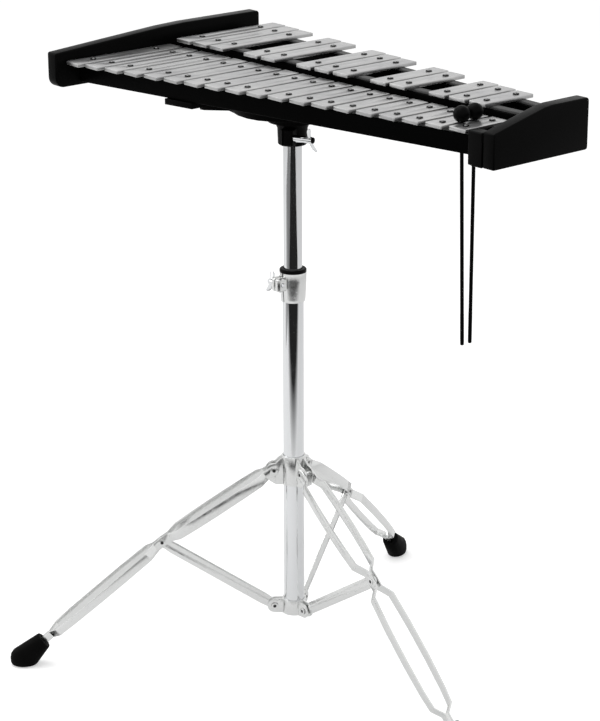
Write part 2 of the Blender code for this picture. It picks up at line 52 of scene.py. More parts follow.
TUBE_SIDES = 128
LOWER_WALL = 0.0013
UPPER_WALL = 0.0014
TUBE_LIP = 0.0003


def input_socket(tree, name, kind, value):
    socket = tree.interface.new_socket(name, in_out="INPUT", socket_type=kind)
    socket.default_value = value
    return socket


def make_wear_group():
    """Uneven gloss: broad smudges with a fine grain on them, and a height for a faint bump."""
    tree = bpy.data.node_groups.new("surface wear", "ShaderNodeTree")
    input_socket(tree, "Smudge Scale", "NodeSocketFloat", 20.0)
    input_socket(tree, "Grain Scale", "NodeSocketFloat", 900.0)
    input_socket(tree, "Lowest", "NodeSocketFloat", 0.1)
    input_socket(tree, "Highest", "NodeSocketFloat", 0.2)
    input_socket(tree, "Stretch", "NodeSocketVector", (1.0, 1.0, 1.0))
    tree.interface.new_socket("Roughness", in_out="OUTPUT", socket_type="NodeSocketFloat")
    tree.interface.new_socket("Height", in_out="OUTPUT", socket_type="NodeSocketFloat")
    nodes = tree.nodes
    links = tree.links
    given = nodes.new("NodeGroupInput")
    place = nodes.new("ShaderNodeTexCoord")
    stretch = nodes.new("ShaderNodeVectorMath")
    stretch.operation = "MULTIPLY"
    smudge = nodes.new("ShaderNodeTexNoise")
    smudge.inputs["Detail"].default_value = 4.0
    grain = nodes.new("ShaderNodeTexNoise")
    grain.inputs["Detail"].default_value = 2.0
    both = nodes.new("ShaderNodeMath")
    both.operation = "MULTIPLY_ADD"
    both.inputs[1].default_value = 0.35
    spread = nodes.new("ShaderNodeMapRange")
    spread.inputs["From Min"].default_value = 0.45
    spread.inputs["From Max"].default_value = 0.95
    result = nodes.new("NodeGroupOutput")
    links.new(place.outputs["Object"], stretch.inputs[0])
    links.new(given.outputs["Stretch"], stretch.inputs[1])
    links.new(stretch.outputs["Vector"], smudge.inputs["Vector"])
    links.new(stretch.outputs["Vector"], grain.inputs["Vector"])
    links.new(given.outputs["Smudge Scale"], smudge.inputs["Scale"])
    links.new(given.outputs["Grain Scale"], grain.inputs["Scale"])
    links.new(grain.outputs["Fac"], both.inputs[0])
    links.new(smudge.outputs["Fac"], both.inputs[2])
    links.new(both.outputs["Value"], spread.inputs["Value"])
    links.new(given.outputs["Lowest"], spread.inputs["To Min"])
    links.new(given.outputs["Highest"], spread.inputs["To Max"])
    links.new(spread.outputs["Result"], result.inputs["Roughness"])
    links.new(grain.outputs["Fac"], result.inputs["Height"])
    return tree


wear_group = make_wear_group()


def worn_material(
    name, color, metallic, lowest, highest, smudge=20.0, grain=900.0, stretch=(1, 1, 1), bump=0.02, gloss=0.5
):
    """A one-colour material whose gloss varies between lowest and highest roughness."""
    material = bpy.data.materials.new(name)
    material.use_nodes = True
    tree = material.node_tree
    shader = tree.nodes["Principled BSDF"]
    shader.inputs["Base Color"].default_value = (*color, 1.0)
    shader.inputs["Metallic"].default_value = metallic
    shader.inputs["Specular IOR Level"].default_value = gloss
    wear = tree.nodes.new("ShaderNodeGroup")
    wear.node_tree = wear_group
    wear.inputs["Smudge Scale"].default_value = smudge
    wear.inputs["Grain Scale"].default_value = grain
    wear.inputs["Lowest"].default_value = lowest
    wear.inputs["Highest"].default_value = highest
    wear.inputs["Stretch"].default_value = stretch
    relief = tree.nodes.new("ShaderNodeBump")
    relief.inputs["Strength"].default_value = bump
    relief.inputs["Distance"].default_value = 0.0005
    tree.links.new(wear.outputs["Roughness"], shader.inputs["Roughness"])
    tree.links.new(wear.outputs["Height"], relief.inputs["Height"])
    tree.links.new(relief.outputs["Normal"], shader.inputs["Normal"])
    return material


chrome = worn_material("chrome", (0.74, 0.75, 0.76), 1.0, 0.03, 0.10, smudge=35.0, grain=500.0, bump=0.004)


def smooth_piece(name, mesh, material, sharp_angle=40.0):
    """An object of this mesh, shaded smooth but for its sharp edges."""
    mesh.shade_smooth()
    mesh.set_sharp_from_angle(angle=math.radians(sharp_angle))
    if material:
        mesh.materials.clear()
        mesh.materials.append(material)
    piece = bpy.data.objects.new(name, mesh)
    bpy.context.scene.collection.objects.link(piece)
    return piece


def turned_mesh(name, profile, sides, place):
    """The mesh of a profile of (radius, height) points turned about Z, closed at the axis or round a ring."""
    bm = bmesh.new()
    rings = []
    for radius, height in profile:
        if radius == 0.0:
            rings.append([bm.verts.new((0.0, 0.0, height))])
            continue
        turns = [2.0 * math.pi * k / sides for k in range(sides)]
        rings.append([bm.verts.new((radius * math.cos(t), radius * math.sin(t), height)) for t in turns])
    count = len(rings) if profile[0][0] > 0.0 else len(rings) - 1
    for k in range(count):
        first = rings[k]
        second = rings[(k + 1) % len(rings)]
        for i in range(sides):
            j = (i + 1) % sides
            corners = [first[i % len(first)], first[j % len(first)]]
            corners += [second[j % len(second)], second[i % len(second)]]
            bm.faces.new(list(dict.fromkeys(corners)))
    bm.transform(place)
    bmesh.ops.recalc_face_normals(bm, faces=bm.faces)
    mesh = bpy.data.meshes.new(name)
    bm.to_mesh(mesh)
    bm.free()
    return mesh


def add_piece(piece, body, slot, *nodes):
    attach(piece, body)
    if nodes:
        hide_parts(*nodes)
    return piece


def tube_piece(name, node, wall, body):
    low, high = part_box(node)
    middle = (low + high) / 2
    radius = (high.x - low.x) / 2
    bottom = low.z - middle.z
    top = high.z - middle.z
    profile = [
        (radius - wall, bottom),
        (radius - TUBE_LIP, bottom),
        (radius, bottom + TUBE_LIP),
        (radius, top - TUBE_LIP),
        (radius - TUBE_LIP, top),
        (radius - wall, top),
    ]
    mesh = turned_mesh(name, profile, TUBE_SIDES, Matrix.Translation(middle))
    return add_piece(smooth_piece(name, mesh, chrome), body, "chrome", node)


tube_piece("lower_column_tube", "lower_tube", LOWER_WALL, "stand_base")
tube_piece("upper_column_tube", "upper_tube", UPPER_WALL, "mast")
column = (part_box("lower_tube")[0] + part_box("lower_tube")[1]) / 2


# Collars, crown, legs and braces
# Chromed castings and pressed straps, riveted together, that spread into the tripod.
# Each keeps the form of its CAD solid, with its edges rounded as tumbling and plating round them.
# Their plating is thinner and duller than the tubes'. Every rivet head has a small dimple, drawn as a dark
# disc of painted shade.

FITTING_EDGE = 0.0005
STRAP_EDGE = 0.0004
DIMPLE_RADIUS = 0.0021
DIMPLE_RISE = 0.0003

dull_chrome = worn_material(
    "dull_chrome", (0.72, 0.725, 0.72), 1.0, 0.14, 0.30, smudge=160.0, grain=900.0, bump=0.03
)
# Painted shade: this dark metal stands in for the shade inside each rivet's dimple.
painted_dimple_shade = worn_material("painted_dimple_shade", (0.05, 0.05, 0.05), 1.0, 0.3, 0.5, smudge=200.0, grain=2000.0)


def softened(name, node, width, material, segments=2):
    """A copy of a CAD node with its edges rounded."""
    bm = bmesh.new()
    bm.from_mesh(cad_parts[node].data)
    bmesh.ops.remove_doubles(bm, verts=bm.verts, dist=0.000002)
    bmesh.ops.dissolve_limit(bm, angle_limit=math.radians(0.5), verts=bm.verts, edges=bm.edges)
    mesh = bpy.data.meshes.new(name)
    bm.to_mesh(mesh)
    bm.free()
    rough = bpy.data.objects.new(name + "_rough", mesh)
    bpy.context.scene.collection.objects.link(rough)
    edge = rough.modifiers.new("rounded edges", "BEVEL")
    edge.width = width
    edge.segments = segments
    edge.limit_method = "ANGLE"
    edge.angle_limit = math.radians(35)
    bpy.context.view_layer.update()
    graph = bpy.context.evaluated_depsgraph_get()
    finished = bpy.data.meshes.new_from_object(rough.evaluated_get(graph))
    bpy.data.objects.remove(rough)
    return smooth_piece(name, finished, material)


for name, node, body in (
    ("height_clamp", "height_collar", "stand_base"),
    ("foot_collar", "lower_collar", "stand_base"),
    ("leg_crown", "crown", "crown"),
):
    add_piece(softened(name, node, FITTING_EDGE, dull_chrome), body, "chrome", node)


def dimple_piece(name, body, spots, turn):
    """Dark round discs of painted shade for the dimples on both sides of a leg's upright plane, each at
    (radius, height, sideways).
    """
    bm = bmesh.new()
    plane = Matrix.Translation((column.x, column.y, 0.0)) @ Matrix.Rotation(math.radians(turn), 4, "Z")
    for radius, height, reach in spots:
        for side in (-1, 1):
            place = plane @ Matrix.Translation((radius, side * reach, height))
            place = place @ Matrix.Rotation(math.radians(-90 * side), 4, "X")
            profile = [(0.0, -DIMPLE_RISE), (DIMPLE_RADIUS, -DIMPLE_RISE), (DIMPLE_RADIUS, 0.0)]
            profile += [(DIMPLE_RADIUS * 0.6, DIMPLE_RISE), (0.0, DIMPLE_RISE)]
            bm.from_mesh(turned_mesh(name, profile, 24, place))
    mesh = bpy.data.meshes.new(name)
    bm.to_mesh(mesh)
    bm.free()
    add_piece(smooth_piece(name, mesh, painted_dimple_shade), body, "chrome")


LEG_TURNS = (234.8, 354.8, 114.8)
for number, turn in enumerate(LEG_TURNS, 1):
    leg = softened(f"leg_straps_{number}", f"leg_{number}", STRAP_EDGE, dull_chrome)
    add_piece(leg, f"leg_{number}", "chrome", f"leg_{number}")
    brace = softened(f"brace_bar_{number}", f"brace_{number}", STRAP_EDGE, dull_chrome)
    add_piece(brace, f"brace_{number}", "chrome", f"brace_{number}")
    spots = ((0.0248, 0.2490, 0.0091), (0.1631, 0.1580, 0.0050))
    dimple_piece(f"leg_dimples_{number}", f"leg_{number}", spots, turn)
    dimple_piece(f"brace_dimples_{number}", f"brace_{number}", ((0.0248, 0.0670, 0.0058),), turn)


# Wing bolts
# Two cast wing bolts, chromed: one clamps the height, one holds the instrument on the upper tube.
# Each has a round hub and two thin blades that lean outwards. The longer one ends in a black plastic cap.

CAP_RADIUS = 0.0036


def blade_mesh(bm, side, hub_radius, hub_length, span, lean, blade_width, blade_thick):
    """One blade: a strip that leaves the hub sideways and curves outwards along the bolt's axis."""
    steps = 10
    rings = []
    for k in range(steps + 1):
        share = k / steps
        out = hub_radius * 0.6 + (span - hub_radius * 0.6) * share
        along = hub_length - blade_width * 0.6 + lean * share**2
        width = blade_width * (1.0 + 0.45 * share) * math.sqrt(max(0.08, 1.0 - share**8))
        thick = blade_thick * (1.25 - 0.55 * share)
        ring = []
        for i in range(12):
            turn = 2.0 * math.pi * (i + 0.5) / 12
            place = (side * out, thick / 2 * math.sin(turn), along + width / 2 * math.cos(turn))
            ring.append(bm.verts.new(place))
        rings.append(ring)
    for first, second in zip(rings, rings[1:]):
        for i in range(12):
            j = (i + 1) % 12
            bm.faces.new((first[i], first[j], second[j], second[i]))
    bm.faces.new(rings[0])
    bm.faces.new(rings[-1][::-1])


def wing_bolt_piece(name, place, hub, blade, shank, cap):
    """A wing bolt with its seat at the origin of place. hub and shank are (radius, length)."""
    hub_radius, hub_length = hub
    shank_radius, shank_length = shank
    bm = bmesh.new()
    profile = [
        (0.0, -shank_length),
        (shank_radius * 0.8, -shank_length),
        (shank_radius, -shank_length + 0.0006),
        (shank_radius, 0.0),
        (hub_radius * 0.92, 0.0),
        (hub_radius, 0.0008),
        (hub_radius * 0.84, hub_length * 0.5),
        (hub_radius * 0.92, hub_length - 0.0010),
        (hub_radius * 0.80, hub_length),
        (0.0, hub_length),
    ]
    body = turned_mesh(name + "_body", profile, 40, Matrix.Identity(4))
    bm.from_mesh(body)
    for side in (-1, 1):
        blade_mesh(bm, side, hub_radius, hub_length, *blade)
    bm.transform(place)
    bmesh.ops.recalc_face_normals(bm, faces=bm.faces)
    mesh = bpy.data.meshes.new(name)
    bm.to_mesh(mesh)
    bm.free()
    add_piece(smooth_piece(name, mesh, chrome, sharp_angle=50.0), name + "_bolt", "chrome", name + "_bolt")
    if cap:
        dome = [(0.0, hub_length), (CAP_RADIUS, hub_length)]
        for k in range(8):
            turn = math.pi / 2 * k / 8
            dome.append((CAP_RADIUS * math.cos(turn), hub_length + 0.0014 + 0.0016 * math.sin(turn)))
        dome.append((0.0, hub_length + 0.0030))
        cap_mesh = turned_mesh(name + "_cap", dome, 32, place)
        add_piece(smooth_piece(name + "_cap", cap_mesh, cap), name + "_bolt", "bush_plastic")


plastic = worn_material(
    "bush_plastic", (0.0015, 0.0015, 0.0015), 0.0, 0.35, 0.5, smudge=80.0, grain=2000.0, bump=0.05, gloss=0.05
)
low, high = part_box("receiver_wing_bolt")
ear = Matrix.Translation((column.x, column.y, (low.z + high.z) / 2))
ear = ear @ Matrix.Rotation(math.radians(25), 4, "Z") @ Matrix.Translation((0.0119, -0.0210, 0.0))
place = ear @ Matrix.Rotation(math.radians(90), 4, "Y")
place = place @ Matrix.Rotation(math.radians(32), 4, "Z")
blade = (0.0186, 0.0034, 0.0040, 0.0020)
wing_bolt_piece("receiver_wing", place, (0.0044, 0.0225), blade, (0.0029, 0.0105), plastic)
low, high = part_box("height_wing_bolt")
seat = Vector((column.x - 0.0078, column.y - 0.0220, (low.z + high.z) / 2))
place = Matrix.Translation(seat) @ Matrix.Rotation(math.radians(-90), 4, "Y")
place = place @ Matrix.Rotation(math.radians(18), 4, "Z")
blade = (0.0125, 0.0032, 0.0060, 0.0030)
wing_bolt_piece("height_wing", place, (0.0042, 0.0095), blade, (0.0023, 0.0175), None)


# Rubber boots and the height bush
# Black moulded rubber boots pushed on the legs' ends, and a black plastic ring on the height clamp.
# Both are dull, a little dusty, and have soft moulded edges.

RUBBER_EDGE = 0.0008

rubber = worn_material(
    "boot_rubber", (0.0015, 0.0015, 0.0015), 0.0, 0.45, 0.7, smudge=60.0, grain=1500.0, bump=0.12, gloss=0.04
)
for number in (1, 2, 3):
    boot = softened(f"boot_{number}", f"foot_{number}", RUBBER_EDGE, rubber, segments=3)
    add_piece(boot, f"leg_{number}", "foot_rubber", f"foot_{number}")
ring = softened("bush_ring", "height_bush", FITTING_EDGE, plastic)
add_piece(ring, "stand_base", "bush_plastic", "height_bush")


# Receiver and mounting tray
# Black powder-coated steel: a socket with a round flange, a plate, and two battens under the rails.
# The coat is fine-grained and satin.

TRAY_EDGE = 0.0012

powder_coat = worn_material(
    "powder_coat", (0.0010, 0.0010, 0.0010), 0.0, 0.35, 0.5, smudge=40.0, grain=1800.0, bump=0.08, gloss=0.03
)
tray = softened("tray_plate", "mounting_tray", TRAY_EDGE, powder_coat)
add_piece(tray, "instrument", "coated_steel_black", "mounting_tray")
socket = softened("socket_and_flange", "receiver", FITTING_EDGE, powder_coat)
add_piece(socket, "instrument", "coated_steel_black", "receiver")


# End boards
# Wooden boards at both ends and a cleat under the last notes, lacquered satin black.
# Their long edges are rounded over by hand.

BOARD_EDGE = 0.0018
CLEAT_EDGE = 0.0005

lacquer = worn_material(
    "black_lacquer", (0.0012, 0.0012, 0.0012), 0.0, 0.28, 0.42, 18.0, 260.0, bump=0.05, gloss=0.035
)
for name, node, edge in (
    ("low_end_board", "end_board_low", BOARD_EDGE),
    ("high_end_board", "end_board_high", BOARD_EDGE),
    ("high_end_cleat", "end_cleat", CLEAT_EDGE),
):
    board = softened(name, node, edge, lacquer, segments=4)
    add_piece(board, "instrument", "board_black", node)


# Bars
# Flat aluminium bars 1 in wide, cut to length, with rounded edges and two holes at the nodes of vibration.
# Their tops are brushed along the bar and clear anodised.

BAR_EDGE = 0.0007
BAR_CORNER = 0.0012
HOLE_SHARE = 0.1988
HOLE_RADIUS = 0.0030


def socket_of(modifier, name):
    for item in modifier.node_group.interface.items_tree:
        if item.item_type == "SOCKET" and item.in_out == "INPUT" and item.name == name:
            return item.identifier
    return None


def make_bar_tree():
    tree = bpy.data.node_groups.new("drilled bar", "GeometryNodeTree")
    tree.interface.new_socket("Geometry", in_out="INPUT", socket_type="NodeSocketGeometry")
    for name in ("Width", "Length", "Thickness", "Corner", "Hole Radius", "Hole Place"):
        input_socket(tree, name, "NodeSocketFloat", 0.01)
    input_socket(tree, "Middle", "NodeSocketVector", (0.0, 0.0, 0.0))
    tree.interface.new_socket("Material", in_out="INPUT", socket_type="NodeSocketMaterial")
    tree.interface.new_socket("Geometry", in_out="OUTPUT", socket_type="NodeSocketGeometry")
    nodes = tree.nodes
    links = tree.links
    given = nodes.new("NodeGroupInput")
    outline = nodes.new("GeometryNodeCurvePrimitiveQuadrilateral")
    fillet = nodes.new("GeometryNodeFilletCurve")
    fillet.mode = "POLY"
    fillet.inputs["Count"].default_value = 4
    links.new(given.outputs["Width"], outline.inputs["Width"])
    links.new(given.outputs["Length"], outline.inputs["Height"])
    links.new(outline.outputs["Curve"], fillet.inputs["Curve"])
    links.new(given.outputs["Corner"], fillet.inputs["Radius"])
    whole = nodes.new("GeometryNodeJoinGeometry")
    links.new(fillet.outputs["Curve"], whole.inputs["Geometry"])
    circle = nodes.new("GeometryNodeCurvePrimitiveCircle")
    circle.inputs["Resolution"].default_value = 28
    links.new(given.outputs["Hole Radius"], circle.inputs["Radius"])
    for side in (-1.0, 1.0):
        away = nodes.new("ShaderNodeMath")
        away.operation = "MULTIPLY"
        away.inputs[1].default_value = side
        offset = nodes.new("ShaderNodeCombineXYZ")
        moved = nodes.new("GeometryNodeTransform")
        links.new(given.outputs["Hole Place"], away.inputs[0])
        links.new(away.outputs["Value"], offset.inputs["Y"])
        links.new(circle.outputs["Curve"], moved.inputs["Geometry"])
        links.new(offset.outputs["Vector"], moved.inputs["Translation"])
        links.new(moved.outputs["Geometry"], whole.inputs["Geometry"])
    filled = nodes.new("GeometryNodeFillCurve")
    links.new(whole.outputs["Geometry"], filled.inputs["Curve"])
    rise = nodes.new("ShaderNodeCombineXYZ")
    links.new(given.outputs["Thickness"], rise.inputs["Z"])
    thick = nodes.new("GeometryNodeExtrudeMesh")
    thick.inputs["Individual"].default_value = False
    links.new(filled.outputs["Mesh"], thick.inputs["Mesh"])
    links.new(rise.outputs["Vector"], thick.inputs["Offset"])
    under = nodes.new("GeometryNodeFlipFaces")
    links.new(filled.outputs["Mesh"], under.inputs["Mesh"])
    closed = nodes.new("GeometryNodeJoinGeometry")
    links.new(thick.outputs["Mesh"], closed.inputs["Geometry"])
    links.new(under.outputs["Mesh"], closed.inputs["Geometry"])
    welded = nodes.new("GeometryNodeMergeByDistance")
    welded.inputs["Distance"].default_value = 0.00001
    links.new(closed.outputs["Geometry"], welded.inputs["Geometry"])
    placed = nodes.new("GeometryNodeTransform")
    links.new(welded.outputs["Geometry"], placed.inputs["Geometry"])
    links.new(given.outputs["Middle"], placed.inputs["Translation"])
    real = nodes.new("GeometryNodeRealizeInstances")
    links.new(placed.outputs["Geometry"], real.inputs["Geometry"])
    finish = nodes.new("GeometryNodeSetMaterial")
    links.new(real.outputs["Geometry"], finish.inputs["Geometry"])
    links.new(given.outputs["Material"], finish.inputs["Material"])
    result = nodes.new("NodeGroupOutput")
    links.new(finish.outputs["Geometry"], result.inputs["Geometry"])
    return tree


def grown(name, tree, values, mesh=None, edge=0.0):
    """The plain mesh that a Geometry Nodes tree makes with these input values."""
    holder = bpy.data.objects.new(name + "_holder", mesh or bpy.data.meshes.new(name))
    bpy.context.scene.collection.objects.link(holder)
    growth = holder.modifiers.new("growth", "NODES")
    growth.node_group = tree
    for key, value in values.items():
        growth[socket_of(growth, key)] = value
    if edge:
        rounded = holder.modifiers.new("rounded edges", "BEVEL")
        rounded.width = edge
        rounded.segments = 2
        rounded.limit_method = "ANGLE"
        rounded.angle_limit = math.radians(40)
    bpy.context.view_layer.update()
    graph = bpy.context.evaluated_depsgraph_get()
    made = bpy.data.meshes.new_from_object(holder.evaluated_get(graph))
    bpy.data.objects.remove(holder)
    return made


def brushed_aluminium():
    """Anodised aluminium, brushed along Y, with a slow change of tone from bar to bar."""
    grey = (0.5, 0.5, 0.5)
    stretch = (22, 0.6, 22)
    material = worn_material("brushed_aluminium", grey, 1.0, 0.26, 0.42, 14.0, 60.0, stretch, bump=0.05)
    tree = material.node_tree
    place = tree.nodes.new("ShaderNodeTexCoord")
    tone = tree.nodes.new("ShaderNodeTexNoise")
    tone.inputs["Scale"].default_value = 14.0
    tone.inputs["Detail"].default_value = 6.0
    tone.inputs["Roughness"].default_value = 0.7
    shades = tree.nodes.new("ShaderNodeValToRGB")
    shades.color_ramp.elements[0].position = 0.30
    shades.color_ramp.elements[0].color = (0.36, 0.36, 0.365, 1.0)
    shades.color_ramp.elements[1].position = 0.70
    shades.color_ramp.elements[1].color = (0.52, 0.52, 0.515, 1.0)
    tree.links.new(place.outputs["Object"], tone.inputs["Vector"])
    tree.links.new(tone.outputs["Fac"], shades.inputs["Fac"])
    tree.links.new(shades.outputs["Color"], tree.nodes["Principled BSDF"].inputs["Base Color"])
    return material


bar_tree = make_bar_tree()
aluminium = brushed_aluminium()
bar_nodes = sorted(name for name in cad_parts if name.startswith("bar_"))
node_places = {}
for node in bar_nodes:
    low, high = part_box(node)
    length = high.y - low.y
    middle = Vector(((low.x + high.x) / 2, (low.y + high.y) / 2, low.z))
    values = {
        "Width": high.x - low.x,
        "Length": length,
        "Thickness": high.z - low.z,
        "Corner": BAR_CORNER,
        "Hole Radius": HOLE_RADIUS,
        "Hole Place": length * (0.5 - HOLE_SHARE),
        "Middle": middle,
        "Material": aluminium,
    }
    name = node.replace("bar_", "note_")
    mesh = grown(name, bar_tree, values, edge=BAR_EDGE)
    add_piece(smooth_piece(name, mesh, None), "instrument", "bar_aluminium", node)
    front = Vector((middle.x, low.y + length * HOLE_SHARE, high.z))
    rear = Vector((middle.x, high.y - length * HOLE_SHARE, high.z))
    node_places[node] = (front, rear)


# Rails, felt and retaining screws
# Each row of bars lies on two black wooden rails with a grey felt strip, one under each line of nodes.
# A dark domed screw with a black rubber collar stands in every bar hole.

RAIL_WIDTH = 0.0140
RAIL_EDGE = 0.0010
FELT_WIDTH = 0.0100
FELT_THICK = 0.0030
GAP = 0.0003
HEAD_RADIUS = 0.0021
HEAD_HEIGHT = 0.0011
COLLAR_RADIUS = 0.0036
COLLAR_HEIGHT = 0.0008
SHANK_RADIUS = 0.0019


def strip_mesh(name, start, end, width, low, high):
    """A straight strip between two points of the plan, from one height to another."""
    across = Vector((start.y - end.y, end.x - start.x, 0.0)).normalized() * width / 2
    bm = bmesh.new()
    ends = []
    for level in (low, high):
        corners = (start - across, end - across, end + across, start + across)
        ends.append([bm.verts.new((corner.x, corner.y, level)) for corner in corners])
    bm.faces.new(ends[0][::-1])
    bm.faces.new(ends[1])
    for k in range(4):
        j = (k + 1) % 4
        bm.faces.new((ends[0][k], ends[0][j], ends[1][j], ends[1][k]))
    bmesh.ops.recalc_face_normals(bm, faces=bm.faces)
    mesh = bpy.data.meshes.new(name)
    bm.to_mesh(mesh)
    bm.free()
    return mesh


def rounded_piece(name, mesh, width, material):
    bm = bmesh.new()
    bm.from_mesh(mesh)
    bmesh.ops.bevel(bm, geom=bm.edges[:], offset=width, segments=3, affect="EDGES", profile=0.5)
    bm.to_mesh(mesh)
    bm.free()
    return smooth_piece(name, mesh, material)


def make_screw_tree():
    tree = bpy.data.node_groups.new("retaining screws", "GeometryNodeTree")
    tree.interface.new_socket("Geometry", in_out="INPUT", socket_type="NodeSocketGeometry")
    for name in ("Head", "Collar"):
        input_socket(tree, name + " Radius", "NodeSocketFloat", 0.002)
        input_socket(tree, name + " Height", "NodeSocketFloat", 0.001)
    input_socket(tree, "Shank Radius", "NodeSocketFloat", 0.002)
    input_socket(tree, "Shank Length", "NodeSocketFloat", 0.005)
    tree.interface.new_socket("Metal", in_out="INPUT", socket_type="NodeSocketMaterial")
    tree.interface.new_socket("Rubber", in_out="INPUT", socket_type="NodeSocketMaterial")
    tree.interface.new_socket("Geometry", in_out="OUTPUT", socket_type="NodeSocketGeometry")
    nodes = tree.nodes
    links = tree.links
    given = nodes.new("NodeGroupInput")
    joined = nodes.new("GeometryNodeJoinGeometry")

    def part(shape, output, scale_pairs, lift, material):
        size = nodes.new("ShaderNodeCombineXYZ")
        for source, axes in scale_pairs:
            for axis in axes:
                links.new(given.outputs[source], size.inputs[axis])
        scaled = nodes.new("GeometryNodeTransform")
        links.new(shape.outputs[output], scaled.inputs["Geometry"])
        links.new(size.outputs["Vector"], scaled.inputs["Scale"])
        height = nodes.new("ShaderNodeMath")
        height.operation = "MULTIPLY"
        height.inputs[1].default_value = lift[1]
        links.new(given.outputs[lift[0]], height.inputs[0])
        offset = nodes.new("ShaderNodeCombineXYZ")
        links.new(height.outputs["Value"], offset.inputs["Z"])
        links.new(offset.outputs["Vector"], scaled.inputs["Translation"])
        finish = nodes.new("GeometryNodeSetMaterial")
        links.new(scaled.outputs["Geometry"], finish.inputs["Geometry"])
        links.new(given.outputs[material], finish.inputs["Material"])
        links.new(finish.outputs["Geometry"], joined.inputs["Geometry"])

    dome = nodes.new("GeometryNodeMeshUVSphere")
    dome.inputs["Segments"].default_value = 24
    dome.inputs["Rings"].default_value = 14
    part(dome, "Mesh", (("Head Radius", "XY"), ("Head Height", "Z")), ("Collar Height", 1.0), "Metal")
    ring = nodes.new("GeometryNodeMeshCylinder")
    ring.inputs["Vertices"].default_value = 28
    ring.inputs["Radius"].default_value = 1.0
    ring.inputs["Depth"].default_value = 1.0
    part(ring, "Mesh", (("Collar Radius", "XY"), ("Collar Height", "Z")), ("Collar Height", 0.5), "Rubber")
    shank = nodes.new("GeometryNodeMeshCylinder")
    shank.inputs["Vertices"].default_value = 16
    shank.inputs["Radius"].default_value = 1.0
    shank.inputs["Depth"].default_value = 1.0
    part(shank, "Mesh", (("Shank Radius", "XY"), ("Shank Length", "Z")), ("Shank Length", -0.5), "Metal")
    rows = nodes.new("GeometryNodeInstanceOnPoints")
    links.new(given.outputs["Geometry"], rows.inputs["Points"])
    links.new(joined.outputs["Geometry"], rows.inputs["Instance"])
    real = nodes.new("GeometryNodeRealizeInstances")
    links.new(rows.outputs["Instances"], real.inputs["Geometry"])
    result = nodes.new("NodeGroupOutput")
    links.new(real.outputs["Geometry"], result.inputs["Geometry"])
    return tree


screw_tree = make_screw_tree()
felt = worn_material(
    "grey_felt", (0.10, 0.10, 0.10), 0.0, 0.85, 1.0, smudge=120.0, grain=2600.0, bump=0.6, gloss=0.1
)
rail_black = worn_material(
    "rail_black", (0.0010, 0.0010, 0.0010), 0.0, 0.35, 0.5, smudge=18.0, grain=260.0, bump=0.05, gloss=0.015
)
screw_steel = worn_material(
    "screw_steel", (0.16, 0.16, 0.16), 1.0, 0.18, 0.34, smudge=200.0, grain=3000.0, bump=0.03
)
for rail, sharp, side in (
    ("rail_natural_front", False, 0),
    ("rail_natural_rear", False, 1),
    ("rail_sharp_front", True, 0),
    ("rail_sharp_rear", True, 1),
):
    places = [node_places[node][side] for node in bar_nodes if ("sharp" in node) == sharp]
    places.sort(key=lambda place: place.x)
    first = places[0]
    slope = (places[-1].y - first.y) / (places[-1].x - first.x)
    rail_low, rail_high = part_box(rail)
    start = Vector((rail_low.x, first.y + slope * (rail_low.x - first.x), 0.0))
    end = Vector((rail_high.x, first.y + slope * (rail_high.x - first.x), 0.0))
    bar_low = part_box(next(node for node in bar_nodes if ("sharp" in node) == sharp))[0].z
    felt_top = bar_low - GAP
    rail_top = felt_top - FELT_THICK
    body = strip_mesh(rail + "_wood", start, end, RAIL_WIDTH, rail_low.z, rail_top)
    wood = rounded_piece(rail + "_wood", body, RAIL_EDGE, rail_black)
    add_piece(wood, "instrument", "rail_black", rail)
    pad = strip_mesh(rail + "_felt", start, end, FELT_WIDTH, rail_top - 0.0002, felt_top)
    add_piece(rounded_piece(rail + "_felt", pad, 0.0008, felt), "instrument", "rail_black")
    heads = bpy.data.meshes.new(rail + "_points")
    heads.from_pydata([tuple(place) for place in places], [], [])
    values = {
        "Head Radius": HEAD_RADIUS,
        "Head Height": HEAD_HEIGHT,
        "Collar Radius": COLLAR_RADIUS,
        "Collar Height": COLLAR_HEIGHT,
        "Shank Radius": SHANK_RADIUS,
        "Shank Length": first.z - rail_top,
        "Metal": screw_steel,
        "Rubber": plastic,
    }
    screws = smooth_piece(rail + "_screws", grown(rail + "_screws", screw_tree, values, mesh=heads), None)
    add_piece(screws, "instrument", "chrome")


# Mallets
# Two black mallets hung by their heads between the last two natural bars.
# Each is a hard rubber ball on a thin glass-fibre shaft, with a thicker sleeve to hold it by.

MALLET_SIDES = 40
HEAD_BALL = 0.0094
SHAFT_RADIUS = 0.0021
SLEEVE_RADIUS = 0.0022
MALLET_LENGTH = 0.2620
SLEEVE_LENGTH = 0.0360
LEANS = (1.7, 0.0)

